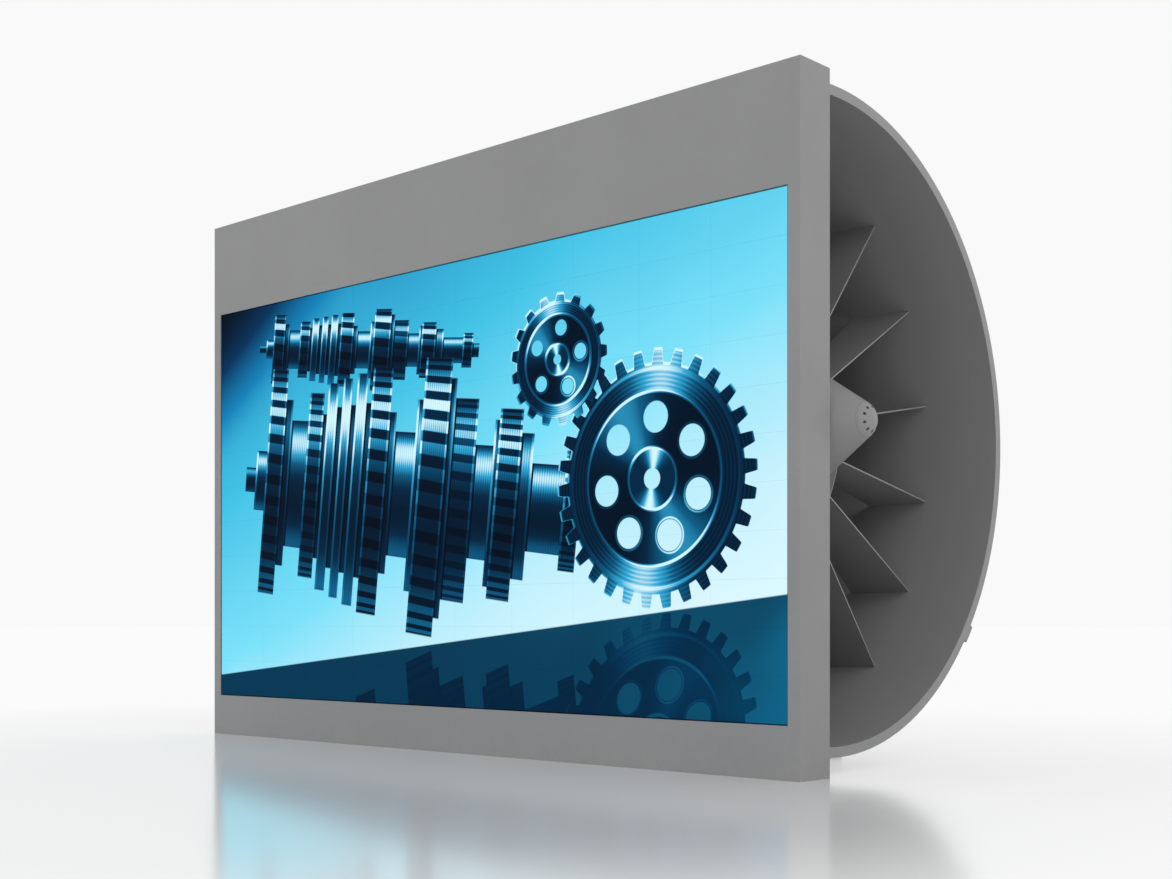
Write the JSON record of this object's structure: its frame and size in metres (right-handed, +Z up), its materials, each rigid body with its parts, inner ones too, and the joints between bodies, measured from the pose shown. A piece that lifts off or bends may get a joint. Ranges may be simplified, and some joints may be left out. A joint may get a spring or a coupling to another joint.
{
  "type": "turbojet exhibit display stand",
  "caption": "Free-standing exhibit wall with a large flush screen and, on its back, half of an engine intake with flat radial blades, a hub and a pointed spinner.",
  "frame": {"origin": "on the floor, under the middle of the display wall's footprint", "axes": "+X along the wall towards the intake's mouth, +Y from the screen side to the back, +Z up"},
  "size_m": [3.3908, 1.4348, 2.35],
  "materials": {
    "wall_paint": "satin",
    "back_paint": "satin",
    "cowl_paint": "satin",
    "liner_paint": "satin",
    "blade_paint": "satin",
    "hub_paint": "satin",
    "spinner_paint": "satin",
    "painted_board": "satin",
    "raw_board": "matte",
    "zinc_steel": "satin",
    "base_paint": "satin",
    "case_metal": "satin",
    "black_plastic": "matte",
    "screen": "satin"
  },
  "bodies": {
    "root": {"back_sheet_1": "back_paint", "back_sheet_2": "back_paint", "back_sheet_3": "back_paint", "back_sheet_4": "back_paint", "base_tray": "wall_paint", "beam_bolts": "zinc_steel", "beam_caps": "black_plastic", "blade_1": "blade_paint", "blade_10": "blade_paint", "blade_2": "blade_paint", "blade_3": "blade_paint", "blade_4": "blade_paint", "blade_5": "blade_paint", "blade_6": "blade_paint", "blade_7": "blade_paint", "blade_8": "blade_paint", "blade_9": "blade_paint", "cowl_skin": "cowl_paint", "cradle_middle": "base_paint", "cradle_right": "base_paint", "cross_rails": "zinc_steel", "duct_liner": "liner_paint", "equipment_plates": "zinc_steel", "floor_beam_left": "base_paint", "floor_beam_middle": "base_paint", "floor_beam_right": "base_paint", "former": "raw_board", "frame_post_1": "zinc_steel", "frame_post_2": "zinc_steel", "frame_post_3": "zinc_steel", "frame_post_4": "zinc_steel", "frame_post_5": "zinc_steel", "front_fascia": "wall_paint", "hub_angles": "zinc_steel", "hub_front_plate": "painted_board", "hub_rear_plate": "painted_board", "hub_skin": "hub_paint", "keel_bars": "zinc_steel", "mouth_ring": "cowl_paint", "power_inlet": "black_plastic", "power_supplies": "case_metal", "rear_bulkhead": "painted_board", "receiving_cards": "black_plastic", "rim_lug": "cowl_paint", "screen_bay_1": "screen", "screen_bay_2": "screen", "screen_bay_3": "screen", "screen_bay_4": "screen", "screen_bay_5": "screen", "sender_box": "case_metal", "side_cover_left": "wall_paint", "side_cover_right": "wall_paint", "sill_bottom": "raw_board", "sill_top": "raw_board", "spinner": "spinner_paint", "top_cover": "wall_paint"}
  },
  "joints": []
}
